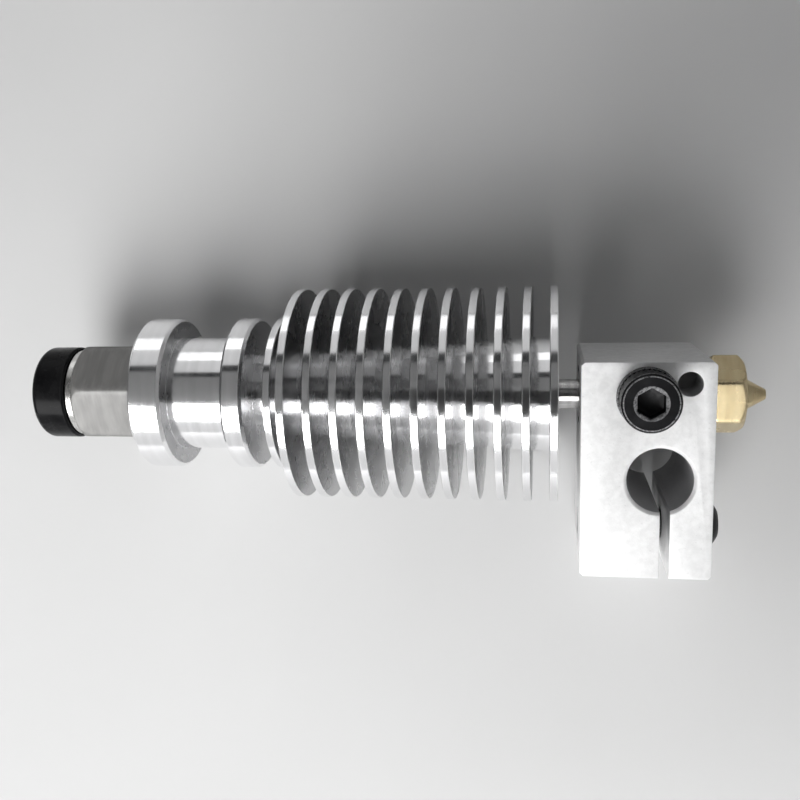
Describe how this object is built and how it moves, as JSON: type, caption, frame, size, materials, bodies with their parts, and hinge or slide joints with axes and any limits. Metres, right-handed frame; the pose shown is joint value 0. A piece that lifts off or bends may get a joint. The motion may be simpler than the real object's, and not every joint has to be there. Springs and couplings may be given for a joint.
{
  "type": "hotend assembly",
  "caption": "Printer hotend: finned heatsink with groove mount, push-fit tube coupling, heat break, clamped heater block and brass nozzle.",
  "frame": {"origin": "on the axis of the filament path, midway up the mounting groove", "axes": "+Z along the filament path towards the tube coupling, so the nozzle points down; -Y is the face of the heater block where the cartridge and the thermistor go in; -X is the block's clamp end"},
  "size_m": [0.0276, 0.0225, 0.0758],
  "materials": {
    "polished_aluminium": "turned and polished bright",
    "blasted_aluminium": "fine bead-blasted, satin",
    "nickel": "nickel plate over turned brass",
    "steel": "turned stainless steel",
    "black_steel": "black oxide, slightly oily",
    "brass": "machined, bright",
    "black_plastic": "moulded, glossy",
    "white_plastic": "moulded, matte",
    "rubber": "smooth nitrile rubber"
  },
  "bodies": {
    "hotend": {"heatsink": "polished_aluminium", "heat_break": "steel", "heater_block": "blasted_aluminium", "nozzle": "brass", "heater_clamp_screw": "black_steel", "thermistor_screw": "black_steel", "thermistor_washer": "black_steel", "coupling_body": "nickel", "coupling_face_seal": "rubber", "coupling_guide_ring": "nickel", "tube_seal": "rubber", "seal_spacer": "white_plastic"},
    "grip": {"collet": "steel"},
    "release": {"release_collar": "black_plastic"}
  },
  "joints": [
    {"name": "grip_swivel", "type": "hinge", "parent": "hotend", "child": "grip", "pos_m": [0, 0, 0.0098], "axis": [0, 0, 1], "continuous": true},
    {"name": "release_slide", "type": "slide", "parent": "grip", "child": "release", "axis": [0, 0, 1], "range_m": [0, 0.0012]}
  ]
}
